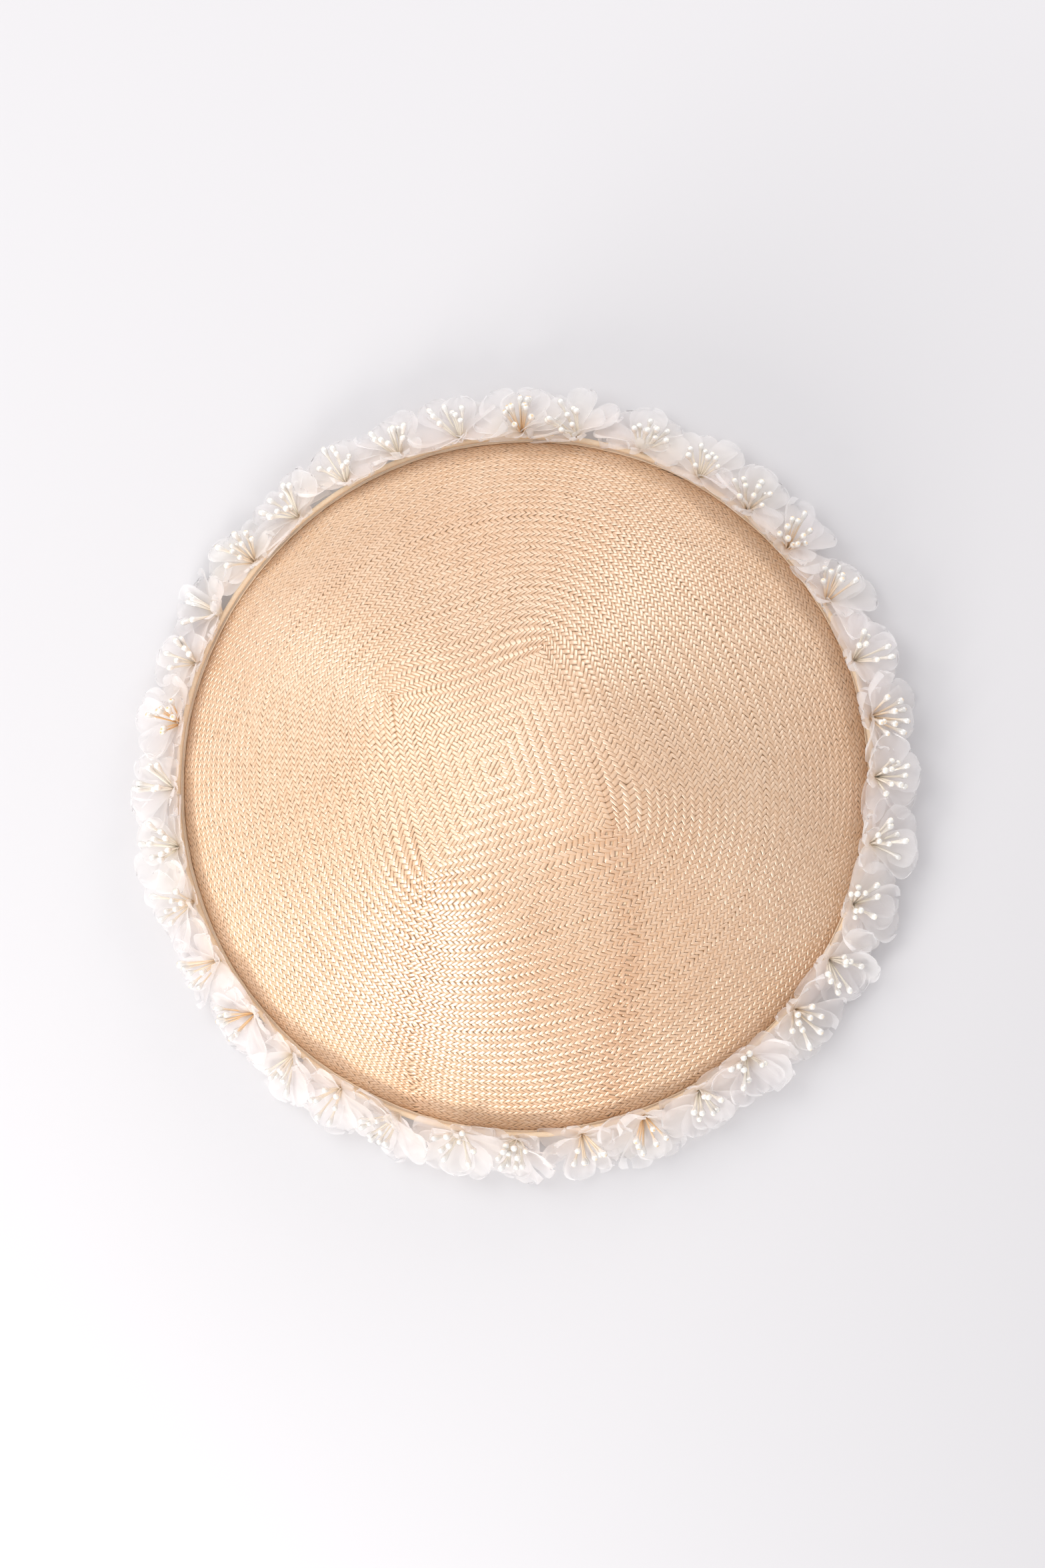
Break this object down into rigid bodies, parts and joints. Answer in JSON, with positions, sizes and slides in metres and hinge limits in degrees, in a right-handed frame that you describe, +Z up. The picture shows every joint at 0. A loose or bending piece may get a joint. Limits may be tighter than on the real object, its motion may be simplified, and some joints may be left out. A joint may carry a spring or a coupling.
{
  "type": "conical straw hat",
  "caption": "Shallow conical hat of glossy woven straw with a rounded tip, bound at its edge and ringed by white cloth blossoms with stamens.",
  "frame": {"origin": "on the surface that the hat stands on, under the crown's tip", "axes": "+Z up the crown's axis to its tip; +X and +Y are level and the hat is round about +Z"},
  "size_m": [0.294, 0.294, 0.0847],
  "materials": {
    "straw": "glossy flat straw in a two-over two-under twill",
    "wire": "steel wire, thread covered",
    "edge_ribbon": "peach ribbon, softly matt",
    "head_ribbon": "cream grosgrain, ribbed",
    "stem_tape": "amber paper tape over wire",
    "petal_silk": "thin stiffened white silk with a fine weave",
    "stamen": "cream thread with pearly heads"
  },
  "bodies": {
    "root": {"crown": "straw", "rim_wire": "wire", "edge_binding": "edge_ribbon", "head_band": "head_ribbon", "garland_stem": "stem_tape", "blossom_01": "petal_silk", "blossom_02": "petal_silk", "blossom_03": "petal_silk", "blossom_04": "petal_silk", "blossom_05": "petal_silk", "blossom_06": "petal_silk", "blossom_07": "petal_silk", "blossom_08": "petal_silk", "blossom_09": "petal_silk", "blossom_10": "petal_silk", "blossom_11": "petal_silk", "blossom_12": "petal_silk", "blossom_13": "petal_silk", "blossom_14": "petal_silk", "blossom_15": "petal_silk", "blossom_16": "petal_silk", "blossom_17": "petal_silk", "blossom_18": "petal_silk", "blossom_19": "petal_silk", "blossom_20": "petal_silk", "blossom_21": "petal_silk", "blossom_22": "petal_silk", "blossom_23": "petal_silk", "blossom_24": "petal_silk", "blossom_25": "petal_silk", "blossom_26": "petal_silk", "blossom_27": "petal_silk", "blossom_28": "petal_silk", "blossom_29": "petal_silk", "blossom_30": "petal_silk", "blossom_31": "petal_silk", "blossom_32": "petal_silk", "blossom_33": "petal_silk", "blossom_34": "petal_silk", "blossom_35": "petal_silk", "blossom_36": "petal_silk"}
  },
  "joints": []
}
